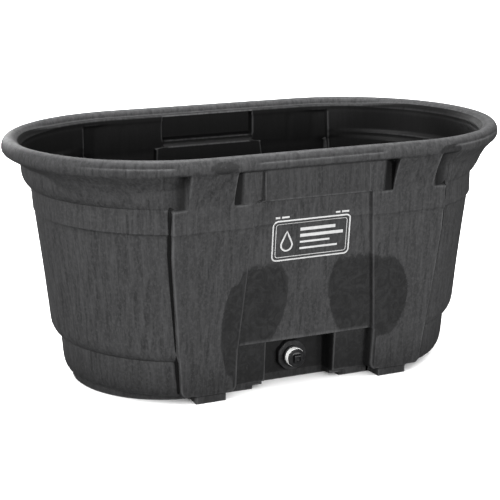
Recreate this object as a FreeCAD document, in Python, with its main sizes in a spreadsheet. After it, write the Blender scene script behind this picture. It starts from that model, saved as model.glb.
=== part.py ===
import FreeCAD, Part
import Sketcher
import math
import os
from FreeCAD import Vector

# An oval livestock water trough moulded in one piece, with a screw-in drain.
# Origin: bottom centre. +X along the trough, the drain faces -Y, +Z up. Millimetres.

NAME = "water_trough"

# alias, value, what it is
SIZES = [
    ("half_length", 673.0, "rim, centre to end"),
    ("half_width", 394.0, "rim, centre to side"),
    ("total_height", 635.0, "ground to rim crest"),
    ("wall_gauge", 7.0, "moulded wall thickness"),
    ("end_draft_extra", 15.0, "how much more the ends lean in than the sides, at the ground"),
    ("foot_height", 20.0, "foot ring and pads"),
    ("foot_inset", 139.0, "foot ring behind the rim, on the long sides"),
    ("floor_top", 27.0, "inside floor above the ground"),
    ("foot_ring_width", 36.0, "width of the ring the trough stands on"),
    ("low_wall_inset", 143.0, "lower wall at its foot"),
    ("low_step_height", 104.0, "foot of the lower step"),
    ("low_step_inset", 134.0, "lower wall below the lower step"),
    ("low_step_rise", 16.0, "height of the lower step"),
    ("main_wall_inset", 112.0, "main wall above the lower step"),
    ("band_step_height", 490.0, "foot of the upper band's step"),
    ("band_step_rise", 22.0, "height of the upper band's step"),
    ("main_top_inset", 71.0, "main wall below the upper band"),
    ("band_inset", 53.0, "upper band at its foot"),
    ("band_top_inset", 42.0, "upper band under the rim"),
    ("rim_wall_inset", 43.0, "rim bead where it leaves the wall"),
    ("rim_inner_inset", 49.5, "inner face of the rim bead"),
    ("rim_depth", 75.0, "height of the rim bead"),
    ("face_foot", 298.0, "pilaster face from the centre plane, at the ground"),
    ("face_slope", 0.108, "outward lean of the pilasters and label panel"),
    ("pilaster_outer_foot", 328.0, "pilaster outer edge at the ground"),
    ("pilaster_outer_slope", 0.061, "outward spread of that edge with height"),
    ("pilaster_inner_low", 187.0, "pilaster inner edge below the label panel"),
    ("pilaster_inner_high", 155.0, "pilaster inner edge at the label panel's top"),
    ("pilaster_step_run", 4.0, "slope of the pilaster's side steps"),
    ("panel_setback", 12.0, "label panel behind the pilaster faces"),
    ("panel_bottom", 135.0, "label panel's lower edge"),
    ("panel_top", 515.0, "label panel's upper edge"),
    ("low_mid_foot", 263.0, "wall between the pilasters at the ground"),
    ("low_mid_top", 275.0, "the same wall under the label panel"),
    ("head_panel_half", 141.0, "top centre panel, centre to edge"),
    ("head_panel_face", 370.0, "top centre panel from the centre plane"),
    ("tub_top", 600.0, "where the wall is buried in the rim bead"),
    ("channel_top", 616.0, "top of the panel and pilaster channels inside"),
    ("block_inner", 214.0, "rim block, inner side"),
    ("block_outer", 336.0, "rim block, outer side of its face"),
    ("block_foot_face", 357.0, "rim block face at its foot"),
    ("block_top_face", 388.0, "rim block face under the rim"),
    ("block_foot", 511.0, "lower end of the rim blocks"),
    ("block_top", 600.0, "upper end of the rim blocks"),
    ("block_depth", 28.0, "rim block, from the foot of its face back to its buried root"),
    ("block_splay_foot", 12.0, "splay of the block's outer side at its foot"),
    ("block_splay_top", 36.0, "splay of the block's outer side at its top"),
    ("pocket_near", 148.0, "side pocket, end near the centre"),
    ("pocket_near_face", 352.0, "side pocket floor at that end"),
    ("pocket_deep_face", 322.0, "side pocket floor beside the block"),
    ("pocket_top", 588.0, "top of the side pockets"),
    ("pad_inner", 218.0, "foot pad, inner side"),
    ("pad_outer", 303.0, "foot pad, outer side"),
    ("pad_face", 296.0, "foot pad face from the centre plane"),
    ("recess_half", 95.0, "drain recess, centre to side"),
    ("recess_face", 207.0, "drain recess wall from the centre plane"),
    ("toe_half", 125.0, "gap in the foot ring in front of the recess"),
    ("drain_height", 66.0, "drain axis above the ground"),
    ("drain_hole_radius", 28.0, "hole through the recess wall"),
    ("barrel_radius", 27.4, "drain fitting, outside of its barrel"),
    ("barrel_end", 29.0, "barrel end in front of the recess wall"),
    ("bore_radius", 21.3, "drain fitting, bore"),
    ("flange_radius", 38.5, "drain fitting, inner flange"),
    ("flange_gauge", 7.0, "inner flange thickness"),
    ("gasket_gauge", 3.0, "inner gasket thickness"),
    ("gasket_radius", 37.5, "inner gasket, outside"),
    ("washer_gauge", 2.5, "outer washer thickness"),
    ("washer_radius", 37.5, "outer washer, outside"),
    ("nut_across", 77.0, "lock nut across its flats"),
    ("nut_corner_radius", 40.5, "lock nut across its rounded corners, as a radius"),
    ("nut_gauge", 15.0, "lock nut thickness"),
    ("nut_flats", 8.0, "flats on the lock nut"),
    ("nut_chamfer", 1.5, "lock nut outer edge"),
    ("thread_radius", 21.05, "drain plug, over its thread"),
    ("thread_inner_end", -8.0, "inner end of the plug's thread"),
    ("seat_gap", 0.2, "plug seal off the barrel end"),
    ("seal_gauge", 14.0, "plug seal thickness"),
    ("seal_inner", 16.3, "plug seal bore"),
    ("seal_outer", 24.8, "plug seal outside"),
    ("neck_radius", 16.0, "plug neck inside the seal"),
    ("head_radius", 24.4, "plug head"),
    ("head_gauge", 3.5, "plug head thickness"),
    ("grip_side", 21.0, "square grip, side"),
    ("grip_length", 9.5, "square grip, length"),
    ("grip_round", 3.0, "square grip, corner radius"),
    ("label_width", 214.0, "label"),
    ("label_height", 118.0, "label"),
    ("label_gauge", 0.5, "label film thickness"),
    ("label_corner", 12.0, "label corner radius"),
    ("label_centre", 411.0, "label centre above the ground"),
]

# Rim bead outline beside its flat ends: points on its arcs, each as
# (distance in from the outermost line, distance below the crest).
RIM_UNDER_START = (30.0, 60.0)
RIM_UNDER_MIDDLE = (6.0, 42.0)
RIM_WIDEST = (0.0, 26.0)
RIM_SHOULDER = (4.5, 9.0)
RIM_CREST = (18.0, 0.0)
RIM_INNER_SHOULDER = (39.0, 9.0)
RIM_INNER_END_DROP = 34.0


def make_sheet(doc):
    """Spreadsheet with one aliased cell for each driving dimension."""
    sheet = doc.addObject("Spreadsheet::Sheet", "dims")
    for row, (alias, value, note) in enumerate(SIZES, start=1):
        sheet.set(f"A{row}", note)
        sheet.set(f"B{row}", str(value))
        sheet.setAlias(f"B{row}", alias)
    doc.recompute()
    return sheet


class Sizes:
    """Reads the sheet's cells by alias: size.half_width and so on."""

    def __init__(self, sheet):
        self.sheet = sheet

    def __getattr__(self, alias):
        return float(self.sheet.get(alias))


def between(points, height):
    """Value at a height on straight runs through (height, value) points."""
    if height <= points[0][0]:
        return points[0][1]
    for (low, start), (high, end) in zip(points, points[1:]):
        if height <= high:
            return start + (end - start) * (height - low) / (high - low)
    return points[-1][1]


# ---------------------------------------------------------------- trough wall


def wall_inset(size, height):
    """How far the end wall's outside lies behind the rim's outermost line."""
    low_top = size.low_step_height + size.low_step_rise
    band_foot = size.band_step_height + size.band_step_rise
    levels = [
        (size.foot_height, size.low_wall_inset),
        (size.low_step_height, size.low_step_inset),
        (low_top, size.main_wall_inset),
        (size.band_step_height, size.main_top_inset),
        (band_foot, size.band_inset),
        (size.tub_top, size.band_top_inset),
    ]
    return between(levels, height)


def middle_face(size, height):
    """Distance of the wall between the pilasters from the centre plane."""
    slope = size.face_slope
    panel = size.face_foot - size.panel_setback
    panel_foot = size.panel_bottom + size.pilaster_step_run
    levels = [
        (0.0, size.low_mid_foot),
        (size.panel_bottom, size.low_mid_top),
        (panel_foot, panel + slope * panel_foot),
        (size.panel_top, panel + slope * size.panel_top),
        (size.panel_top + size.pilaster_step_run, size.head_panel_face),
        (size.tub_top, size.head_panel_face),
    ]
    return between(levels, height)


def middle_edge(size, height):
    """Distance of the pilaster's inner edge from the middle of the side."""
    levels = [
        (size.panel_bottom, size.pilaster_inner_low),
        (size.panel_top, size.pilaster_inner_high),
        (size.panel_top + size.pilaster_step_run, size.head_panel_half),
    ]
    return between(levels, height)


def arc_centre(size, height):
    """Distance of each end arc's centre from the middle of the trough."""
    lean = max(0.0, 1.0 - height / size.band_step_height)
    return size.half_length - size.half_width - size.end_draft_extra * lean


def tub_outline(size, height, cover):
    """Closed section of the tub at a height.

    cover is 0 on the outside, and the wall thickness on the inside, where the section is
    that of the outside one thickness lower, moved in by one thickness.
    """
    level = height - cover
    centre = arc_centre(size, level)
    radius = size.half_length - wall_inset(size, level) - centre - cover
    middle = middle_face(size, level) - cover
    face = size.face_foot + size.face_slope * level - cover
    toward_middle = -cover if middle > face else cover
    edge = middle_edge(size, level) + toward_middle
    face_start = edge + size.pilaster_step_run
    face_end = size.pilaster_outer_foot + size.pilaster_outer_slope * level - cover
    wall_start = face_end + size.pilaster_step_run
    wall = math.sqrt(radius ** 2 - (wall_start - centre) ** 2)
    half = [(edge, middle), (face_start, face), (face_end, face), (wall_start, wall)]
    front = [Vector(-x, -y, height) for x, y in reversed(half)]
    front += [Vector(x, -y, height) for x, y in half]
    back = [Vector(-corner.x, -corner.y, height) for corner in front]
    nose = centre + radius
    edges = [Part.makeLine(a, b) for a, b in zip(front, front[1:])]
    edges.append(Part.Arc(front[-1], Vector(nose, 0, height), back[0]).toShape())
    edges += [Part.makeLine(a, b) for a, b in zip(back, back[1:])]
    edges.append(Part.Arc(back[-1], Vector(-nose, 0, height), front[0]).toShape())
    return Part.Wire(edges)


def tub_levels(size):
    """Heights at which the outside of the tub changes slope."""
    return [
        size.foot_height,
        size.low_step_height,
        size.low_step_height + size.low_step_rise,
        size.panel_bottom,
        size.panel_bottom + size.pilaster_step_run,
        size.band_step_height,
        size.band_step_height + size.band_step_rise,
        size.panel_top,
        size.panel_top + size.pilaster_step_run,
        size.tub_top,
    ]


def tub_outside(size):
    wires = [tub_outline(size, height, 0.0) for height in tub_levels(size)]
    return Part.makeLoft(wires, True, True)


def tub_inside(size):
    gauge = size.wall_gauge
    heights = [height + gauge for height in tub_levels(size)]
    heights[0] = size.floor_top
    heights[-1] = size.channel_top
    wires = [tub_outline(size, height, gauge) for height in heights]
    return Part.makeLoft(wires, True, True)


def stadium_wire(centre, radius, height):
    """Two straight sides and two half circles."""
    corners = [
        Vector(-centre, -radius, height),
        Vector(centre, -radius, height),
        Vector(centre, radius, height),
        Vector(-centre, radius, height),
    ]
    return Part.Wire([
        Part.makeLine(corners[0], corners[1]),
        Part.Arc(corners[1], Vector(centre + radius, 0, height), corners[2]).toShape(),
        Part.makeLine(corners[2], corners[3]),
        Part.Arc(corners[3], Vector(-centre - radius, 0, height), corners[0]).toShape(),
    ])


def stadium_block(centre, radius, low, high):
    face = Part.Face(stadium_wire(centre, radius, low))
    return face.extrude(Vector(0, 0, high - low))


def rim_outline(size):
    """Face of the rim bead's section, in the XZ plane at the +X end of the trough."""
    def point(spot):
        inset, drop = spot
        return Vector(size.half_length - inset, 0, size.total_height - drop)

    inner_top = point((size.rim_inner_inset, RIM_INNER_END_DROP))
    inner_foot = point((size.rim_inner_inset, size.rim_depth))
    wall_foot = point((size.rim_wall_inset, size.rim_depth))
    edges = [
        Part.makeLine(wall_foot, point(RIM_UNDER_START)),
        Part.Arc(point(RIM_UNDER_START), point(RIM_UNDER_MIDDLE), point(RIM_WIDEST)).toShape(),
        Part.Arc(point(RIM_WIDEST), point(RIM_SHOULDER), point(RIM_CREST)).toShape(),
        Part.Arc(point(RIM_CREST), point(RIM_INNER_SHOULDER), inner_top).toShape(),
        Part.makeLine(inner_top, inner_foot),
        Part.makeLine(inner_foot, wall_foot),
    ]
    return Part.Face(Part.Wire(edges))


def rim_bead(size):
    """Bead round the top: half turns at the ends, straight runs along the sides."""
    centre = size.half_length - size.half_width
    section = rim_outline(size)
    up = Vector(0, 0, 1)
    start = section.copy()
    start.rotate(Vector(centre, 0, 0), up, -90)
    right_end = start.revolve(Vector(centre, 0, 0), up, 180)
    left_end = right_end.mirror(Vector(0, 0, 0), Vector(1, 0, 0))
    front_run = start.extrude(Vector(-2 * centre, 0, 0))
    back_run = front_run.mirror(Vector(0, 0, 0), Vector(0, 1, 0))
    return right_end.fuse([left_end, front_run, back_run])


def prism(corners, low, high):
    """Upright block over a polygon of (x, y) corners."""
    points = [Vector(x, y, low) for x, y in corners]
    face = Part.Face(Part.makePolygon(points + points[:1]))
    return face.extrude(Vector(0, 0, high - low))


def splayed_block(foot_corners, low, top_corners, high):
    """Loft between two polygons of (x, y) corners."""
    wires = []
    for corners, height in ((foot_corners, low), (top_corners, high)):
        points = [Vector(x, y, height) for x, y in corners]
        wires.append(Part.makePolygon(points + points[:1]))
    return Part.makeLoft(wires, True, True)


def four_ways(shape):
    """The shape and its mirror images in both centre planes."""
    middle = Vector(0, 0, 0)
    pair = [shape, shape.mirror(middle, Vector(1, 0, 0))]
    return pair + [piece.mirror(middle, Vector(0, 1, 0)) for piece in pair]


def front_and_back(shape):
    return [shape, shape.mirror(Vector(0, 0, 0), Vector(0, 1, 0))]


def rim_block(size, cover):
    """Wedge that carries the rim down onto a pilaster. cover thins it for its hollow."""
    root = size.block_foot_face - size.block_depth
    inner = size.block_inner + cover
    outer = size.block_outer - cover
    foot_face = size.block_foot_face - cover
    top_face = size.block_top_face - cover
    foot = [
        (inner, -root),
        (inner, -foot_face),
        (outer, -foot_face),
        (outer + size.block_splay_foot, -root),
    ]
    top = [
        (inner, -root),
        (inner, -top_face),
        (outer, -top_face),
        (outer + size.block_splay_top, -root),
    ]
    return splayed_block(foot, size.block_foot + cover, top, size.block_top)


def side_pocket(size, cover):
    """Hollow between the top centre panel and a rim block. cover thickens it for its lining."""
    outside = size.half_width
    corners = [
        (size.pocket_near - cover, -outside),
        (size.pocket_near - cover, -size.pocket_near_face + cover),
        (size.block_inner + cover, -size.pocket_deep_face + cover),
        (size.block_inner + cover, -outside),
    ]
    return prism(corners, size.panel_top - cover, size.pocket_top + cover)


def drain_recess(size, cover):
    """Hollow that shelters the drain. cover thickens it for its lining."""
    half = size.recess_half + cover
    face = size.recess_face - cover
    corners = [(-half, -face), (half, -face), (half, -size.half_width), (-half, -size.half_width)]
    return prism(corners, 0.0, size.panel_bottom + cover)


def foot_ring(size):
    """Ring the trough stands on, open in front of each recess."""
    centre = arc_centre(size, 0.0)
    radius = size.half_width - size.foot_inset
    ring = stadium_block(centre, radius, 0.0, size.foot_height)
    toe = [
        (-size.toe_half, -size.recess_face),
        (size.toe_half, -size.recess_face),
        (size.toe_half, -size.half_width),
        (-size.toe_half, -size.half_width),
    ]
    gap = prism(toe, 0.0, size.foot_height)
    return ring.cut(front_and_back(gap))


def underside_relief(size):
    centre = arc_centre(size, 0.0)
    radius = size.recess_face - size.foot_ring_width
    return stadium_block(centre + size.foot_ring_width, radius, 0.0, size.foot_height)


def foot_pad(size):
    root = size.half_width - size.foot_inset - size.foot_ring_width
    corners = [
        (size.pad_inner, -root),
        (size.pad_inner, -size.pad_face),
        (size.pad_outer, -size.pad_face),
        (size.pad_outer, -root),
    ]
    return prism(corners, 0.0, size.foot_height)


def tank_shell(doc, size):
    """The one-piece tub: lofted wall, rim bead, blocks, feet, less its hollows."""
    gauge = size.wall_gauge
    hole_depth = 3 * gauge
    outside = tub_outside(size)
    outside = outside.fuse([rim_bead(size), foot_ring(size)])
    outside = outside.fuse(four_ways(rim_block(size, 0.0)) + four_ways(foot_pad(size)))

    hollow = tub_inside(size).fuse(four_ways(rim_block(size, gauge)))
    lining = four_ways(side_pocket(size, gauge)) + front_and_back(drain_recess(size, gauge))
    hollow = hollow.cut(lining)

    shell = outside.cut(hollow)
    shell = shell.cut(four_ways(side_pocket(size, 0.0)) + front_and_back(drain_recess(size, 0.0)))
    shell = shell.cut(underside_relief(size))
    before_wall = Vector(0, -size.recess_face - gauge, size.drain_height)
    hole = Part.makeCylinder(size.drain_hole_radius, hole_depth, before_wall, Vector(0, 1, 0))
    shell = shell.cut(hole).removeSplitter()
    shell = shell.Solids[0] if len(shell.Solids) == 1 else shell
    tub = doc.addObject("Part::Feature", "tank_shell")
    tub.Shape = shell
    tub.Placement = FreeCAD.Placement()
    return tub


# ------------------------------------------------------------- drain fittings


def origin_plane(body, role):
    for feature in body.Origin.OriginFeatures:
        if feature.Role == role:
            return feature
    raise ValueError(role)


def new_body(doc, label):
    body = doc.addObject("PartDesign::Body", label)
    body.Label = label
    return body


def new_sketch(body, name, role):
    sketch = body.newObject("Sketcher::SketchObject", name)
    sketch.AttachmentSupport = (origin_plane(body, role), [""])
    sketch.MapMode = "FlatFace"
    return sketch


def formula_value(size, formula):
    """Value of a formula of sheet aliases, used as a constraint's first guess."""
    total = 0.0
    for term in formula.split("+"):
        words = term.strip().split("*")
        value = 1.0
        for word in words:
            word = word.strip()
            negative = word.startswith("-")
            word = word.lstrip("-")
            number = float(word) if word[0].isdigit() else getattr(size, word)
            value *= -number if negative else number
        total += value
    return total


def bound_formula(formula):
    """The same formula as a FreeCAD expression on the sheet."""
    terms = []
    for term in formula.split("+"):
        words = []
        for word in term.strip().split("*"):
            word = word.strip()
            sign = "-" if word.startswith("-") else ""
            word = word.lstrip("-")
            words.append(sign + (word if word[0].isdigit() else f"dims.{word}"))
        terms.append(" * ".join(words))
    return " + ".join(terms)


def polygon_sketch(size, sketch, corners):
    """Closed outline whose corners are pairs of formulas, each bound to the sheet."""
    values = [(formula_value(size, x), formula_value(size, y)) for x, y in corners]
    points = [Vector(x, y, 0) for x, y in values]
    count = len(points)
    for index in range(count):
        line = Part.LineSegment(points[index], points[(index + 1) % count])
        sketch.addGeometry(line, False)
    for index in range(count):
        following = (index + 1) % count
        sketch.addConstraint(Sketcher.Constraint("Coincident", index, 2, following, 1))
    for index, (x_formula, y_formula) in enumerate(corners):
        for kind, formula, value in (
            ("DistanceX", x_formula, values[index][0]),
            ("DistanceY", y_formula, values[index][1]),
        ):
            number = sketch.addConstraint(Sketcher.Constraint(kind, -1, 1, index, 1, value))
            name = f"{kind}_{index}"
            sketch.renameConstraint(number, name)
            sketch.setExpression(f"Constraints.{name}", bound_formula(formula))


def turned(doc, size, label, corners):
    """Body turned about its own Z axis from an outline of (radius, height) formulas."""
    body = new_body(doc, label)
    sketch = new_sketch(body, f"{label}_outline", "XZ_Plane")
    polygon_sketch(size, sketch, corners)
    doc.recompute()
    turn = body.newObject("PartDesign::Revolution", f"{label}_turn")
    turn.Profile = sketch
    turn.ReferenceAxis = (sketch, ["V_Axis"])
    turn.Angle = 360
    body.Tip = turn
    doc.recompute()
    return body


def ring_corners(inner, outer, low, high):
    return [(inner, low), (outer, low), (outer, high), (inner, high)]


def place_on_drain(body):
    """Stands the body's Z axis on the drain axis, pointing out of the recess."""
    body.Placement = FreeCAD.Placement(Vector(0, 0, 0), FreeCAD.Rotation(Vector(1, 0, 0), 90))
    body.setExpression(".Placement.Base.y", "-dims.recess_face")
    body.setExpression(".Placement.Base.z", "dims.drain_height")


def drain_body(doc, size):
    inner = "-wall_gauge + -gasket_gauge"
    corners = [
        ("bore_radius", f"{inner} + -flange_gauge"),
        ("flange_radius", f"{inner} + -flange_gauge"),
        ("flange_radius", inner),
        ("barrel_radius", inner),
        ("barrel_radius", "barrel_end"),
        ("bore_radius", "barrel_end"),
    ]
    return turned(doc, size, "drain_body", corners)


def inner_gasket(doc, size):
    low = "-wall_gauge + -gasket_gauge"
    corners = ring_corners("barrel_radius", "gasket_radius", low, "-wall_gauge")
    return turned(doc, size, "inner_gasket", corners)


def outer_washer(doc, size):
    corners = ring_corners("barrel_radius", "washer_radius", "0 * washer_gauge", "washer_gauge")
    return turned(doc, size, "outer_washer", corners)


def lock_nut(doc, size):
    """Ring nut with flats cut round its edge by a polar pattern."""
    top = "washer_gauge + nut_gauge"
    corners = [
        ("barrel_radius", "washer_gauge"),
        ("nut_corner_radius", "washer_gauge"),
        ("nut_corner_radius", f"{top} + -nut_chamfer"),
        ("nut_corner_radius + -nut_chamfer", top),
        ("barrel_radius", top),
    ]
    body = turned(doc, size, "lock_nut", corners)
    sketch = new_sketch(body, "lock_nut_flat", "XY_Plane")
    flat = [
        ("0.5 * nut_across", "-nut_corner_radius"),
        ("nut_corner_radius + nut_gauge", "-nut_corner_radius"),
        ("nut_corner_radius + nut_gauge", "nut_corner_radius"),
        ("0.5 * nut_across", "nut_corner_radius"),
    ]
    polygon_sketch(size, sketch, flat)
    doc.recompute()
    cut = body.newObject("PartDesign::Pocket", "lock_nut_cut")
    cut.Profile = sketch
    cut.Type = "ThroughAll"
    cut.Midplane = True
    body.Tip = cut
    doc.recompute()
    pattern = body.newObject("PartDesign::PolarPattern", "lock_nut_flats")
    pattern.Originals = [cut]
    pattern.Axis = (sketch, ["N_Axis"])
    pattern.Angle = 360
    pattern.setExpression("Occurrences", "dims.nut_flats")
    body.Tip = pattern
    doc.recompute()
    return body


def plug_seal(doc, size):
    low = "barrel_end + seat_gap"
    corners = ring_corners("seal_inner", "seal_outer", low, f"{low} + seal_gauge")
    return turned(doc, size, "plug_seal", corners)


def drain_plug(doc, size):
    """Threaded shank, neck for the seal, round head and square grip."""
    neck_start = "barrel_end"
    head_start = "barrel_end + 2 * seat_gap + seal_gauge"
    head_end = f"{head_start} + head_gauge"
    corners = [
        ("0 * neck_radius", "thread_inner_end"),
        ("thread_radius", "thread_inner_end"),
        ("thread_radius", neck_start),
        ("neck_radius", neck_start),
        ("neck_radius", head_start),
        ("head_radius", head_start),
        ("head_radius", head_end),
        ("0 * neck_radius", head_end),
    ]
    body = turned(doc, size, "drain_plug", corners)
    sketch = new_sketch(body, "drain_plug_square", "XY_Plane")
    half = "0.5 * grip_side"
    minus = "-0.5 * grip_side"
    polygon_sketch(size, sketch, [(minus, minus), (half, minus), (half, half), (minus, half)])
    doc.recompute()
    grip = body.newObject("PartDesign::Pad", "drain_plug_grip")
    grip.Profile = sketch
    grip.setExpression("Length", f"{bound_formula(head_end)} + dims.grip_length")
    body.Tip = grip
    doc.recompute()
    corner_edges = []
    tall = formula_value(size, head_end)
    for number, edge in enumerate(grip.Shape.Edges, start=1):
        ends = [vertex.Point for vertex in edge.Vertexes]
        upright = len(ends) == 2 and (ends[0] - ends[1]).x == 0 and (ends[0] - ends[1]).y == 0
        if upright and min(end.z for end in ends) > tall - 1 and edge.Length > size.grip_length - 1:
            corner_edges.append(f"Edge{number}")
    fillet = body.newObject("PartDesign::Fillet", "drain_plug_grip_corners")
    fillet.Base = (grip, corner_edges)
    fillet.setExpression("Radius", "dims.grip_round")
    body.Tip = fillet
    doc.recompute()
    return body


# ---------------------------------------------------------------------- label


def front_label(doc, size):
    """Thin film lying on the leaning label panel."""
    plate = doc.addObject("Part::Box", "label_plate")
    plate.setExpression("Length", "dims.label_width")
    plate.setExpression("Width", "dims.label_height")
    plate.setExpression("Height", "dims.label_gauge")
    doc.recompute()
    corners = doc.addObject("Part::Fillet", "front_label")
    corners.Base = plate
    rounded = []
    for number, edge in enumerate(plate.Shape.Edges, start=1):
        ends = [vertex.Point for vertex in edge.Vertexes]
        if abs(ends[0].z - ends[1].z) > size.label_gauge / 2:
            rounded.append((number, size.label_corner, size.label_corner))
    corners.Edges = rounded
    doc.recompute()
    lean = math.degrees(math.atan(size.face_slope))
    turn = FreeCAD.Rotation(Vector(1, 0, 0), 90 + lean)
    centre = Vector(0, -middle_face(size, size.label_centre), size.label_centre)
    corner = turn.multVec(Vector(-size.label_width / 2, -size.label_height / 2, 0))
    corners.Placement = FreeCAD.Placement(centre + corner, turn)
    return corners


def build():
    doc = FreeCAD.newDocument(NAME)
    sheet = make_sheet(doc)
    size = Sizes(sheet)
    fittings = [
        drain_body(doc, size),
        inner_gasket(doc, size),
        outer_washer(doc, size),
        lock_nut(doc, size),
        plug_seal(doc, size),
        drain_plug(doc, size),
    ]
    for body in fittings:
        place_on_drain(body)
    pieces = fittings + [tank_shell(doc, size), front_label(doc, size)]
    doc.recompute()
    return doc, pieces


def check(doc, pieces):
    for item in doc.Objects:
        if "Invalid" in item.State or "Error" in item.State:
            raise RuntimeError(f"{item.Name} failed: {item.State}")
    for piece in pieces:
        if piece.Shape.isNull() or not piece.Shape.isValid():
            raise RuntimeError(f"{piece.Label} has no valid shape")
        print(piece.Label, "solids", len(piece.Shape.Solids), "volume", round(piece.Shape.Volume))


def export(pieces):
    os.makedirs("parts", exist_ok=True)
    for piece in pieces:
        piece.Shape.exportStep(f"parts/{piece.Label}.step")


document, sub_parts = build()
check(document, sub_parts)
export(sub_parts)
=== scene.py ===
import math

import bmesh
import bpy
import numpy as np
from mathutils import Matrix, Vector


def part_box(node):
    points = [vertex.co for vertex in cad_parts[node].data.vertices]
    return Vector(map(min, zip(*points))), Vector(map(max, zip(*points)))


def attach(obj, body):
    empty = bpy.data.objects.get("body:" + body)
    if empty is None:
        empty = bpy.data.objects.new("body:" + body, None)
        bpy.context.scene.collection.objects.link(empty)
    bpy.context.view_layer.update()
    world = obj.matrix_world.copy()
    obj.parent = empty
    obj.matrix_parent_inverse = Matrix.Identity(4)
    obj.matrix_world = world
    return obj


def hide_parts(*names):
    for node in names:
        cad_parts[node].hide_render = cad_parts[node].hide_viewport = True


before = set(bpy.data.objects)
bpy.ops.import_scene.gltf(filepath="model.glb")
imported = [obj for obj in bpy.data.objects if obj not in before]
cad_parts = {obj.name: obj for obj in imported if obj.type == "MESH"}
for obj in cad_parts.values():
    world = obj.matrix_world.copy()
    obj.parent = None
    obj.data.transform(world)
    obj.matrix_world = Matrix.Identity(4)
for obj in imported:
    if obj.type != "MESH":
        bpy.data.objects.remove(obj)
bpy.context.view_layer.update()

MM = 0.001
low_corner, high_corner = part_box("tank_shell")

# ------------------------------------------------------------------ the tub's sizes, in mm
HALF_LENGTH = high_corner[0] / MM
HALF_WIDTH = high_corner[1] / MM
HEIGHT = high_corner[2] / MM
ARC_CENTRE = HALF_LENGTH - HALF_WIDTH
NOSE = ARC_CENTRE + HALF_WIDTH * math.pi / 2
GAUGE = 7.0

FOOT = 20.0
FOOT_RADIUS = HALF_WIDTH - 145.0
RING_INNER = 171.0
RING_INNER_SPREAD = 21.0
FLOOR = 27.0
FLOOR_ROUND = 22.0
END_LEAN = 15.0
LOW_STEP = 118.0
LOW_STEP_RISE = 40.0
FULL_ANGLE = math.radians(62.0)
BAND_STEP = 511.0
BAND_STEP_RISE = 36.0
FACE_FOOT = 298.0
FACE_SLOPE = 0.108
PANEL_SETBACK = 12.0
PANEL_BOTTOM = 135.0
PANEL_TOP = 515.0
HEAD_HALF = 144.0
HEAD_FACE = 370.0
RECESS_HALF = 95.0
RECESS_FACE = 207.0
TOE_HALF = 122.0
TOE_RISE = 9.0
PAD_INNER = 214.0
PAD_FACE = 296.0
PILASTER_CORNER = 20.0
BLOCK_INNER = 214.0
BLOCK_OUTER = 336.0
BLOCK_FOOT = 511.0
BLOCK_TOP = 600.0
BLOCK_FOOT_FACE = 353.4
BLOCK_TOP_FACE = 388.0
POCKET_RAMP_START = 157.0
POCKET_RAMP_END = 196.0
POCKET_RAMP_DEPTH = 7.0
SLOT_FACE = 348.0
POCKET_TOP = 590.0
POCKET_CORNER = 20.0
SIDE_POCKET_END = 392.0
SIDE_POCKET_FACE = 348.0
SEAM = 276.0
LUG_FOOT = 452.0
LUG_PROUD = 5.5
CHANNEL_TOP = 612.0
CHANNEL_FOOT = 550.0
INNER_BLOCK_FACE = 345.5
INNER_SEAMS = (187.0, 256.0, 345.0)
INNER_SEAM_DEPTH = 2.2
INNER_SEAM_WIDTH = 2.6
RIM_WIDEST = 609.0
RIM_CREST = HALF_WIDTH - 18.0
RIM_INNER = HALF_WIDTH - 49.5
RIM_INNER_FOOT = 601.0


def smooth(t):
    t = np.clip(t, 0.0, 1.0)
    return t * t * (3.0 - 2.0 * t)


def rounded(t):
    """Rises quickly from a sharp corner at 0 and rolls over into level at 1."""
    t = np.clip(t, 0.0, 1.0)
    return (1.0 - (1.0 - t) ** 2) ** 0.62


def mix(a, b, t):
    return a + (b - a) * t


def between(points, height):
    heights, values = zip(*points)
    return np.interp(height, heights, values)


# ------------------------------------------------------------------ plan and profile laws
def wall_distance(angle, level):
    """Plain wall, from the core line, in the direction angle (0 is square to the side)."""
    inset = between([(FOOT, 152.0), (26.0, 147.0), (36.0, 142.0), (52.0, 138.5), (LOW_STEP, 133.0)], level)
    above = between([(LOW_STEP, 112.5), (BAND_STEP, 69.0)], level)
    inset = mix(inset, above, rounded((level - LOW_STEP) / LOW_STEP_RISE))
    band = between([(BAND_STEP, 50.0), (600.0, 42.0)], level)
    banded = rounded((level - BAND_STEP) / BAND_STEP_RISE)
    inset = mix(inset, band, banded)
    shift = END_LEAN * max(0.0, 1.0 - level / 490.0)
    fullness = between([(0.0, 46.0), (LOW_STEP, 43.0), (LOW_STEP + 35.0, 31.0), (BAND_STEP, 40.0)], level)
    fullness = fullness * np.clip(1.0 - angle / FULL_ANGLE, 0.0, 1.0) ** 1.6
    return HALF_WIDTH - inset + shift - shift * np.sin(angle) + fullness * (1.0 - 0.6 * banded)


def pilaster_face(level):
    return FACE_FOOT + FACE_SLOPE * level


def middle_distance(level):
    low = between([(0.0, 263.0), (PANEL_BOTTOM, 275.0)], level)
    panel = pilaster_face(level) - PANEL_SETBACK
    return mix(low, panel, smooth((level - PANEL_BOTTOM) / 4.0))


def corner_round(level):
    """How far the pilasters' lower corners are cut back."""
    t = np.clip((FOOT + 22.0 - level) / 22.0, 0.0, 1.0)
    return PILASTER_CORNER * (1.0 - math.sqrt(1.0 - t * t))


def inner_edge(level):
    edge = between([(PANEL_BOTTOM, 187.0), (PANEL_TOP, 155.0)], level)
    edge = edge + corner_round(level)
    return mix(edge, HEAD_HALF, smooth((level - PANEL_TOP) / 6.0))


def outer_edge(level):
    return min(335.0 + 0.094 * level, 372.0) - corner_round(level)


def plan_place(x, face):
    """Place along the side of a point at x on a plane: x itself, then rim arc length."""
    if x <= ARC_CENTRE:
        return x
    return ARC_CENTRE + HALF_WIDTH * math.atan((x - ARC_CENTRE) / face)


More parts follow.
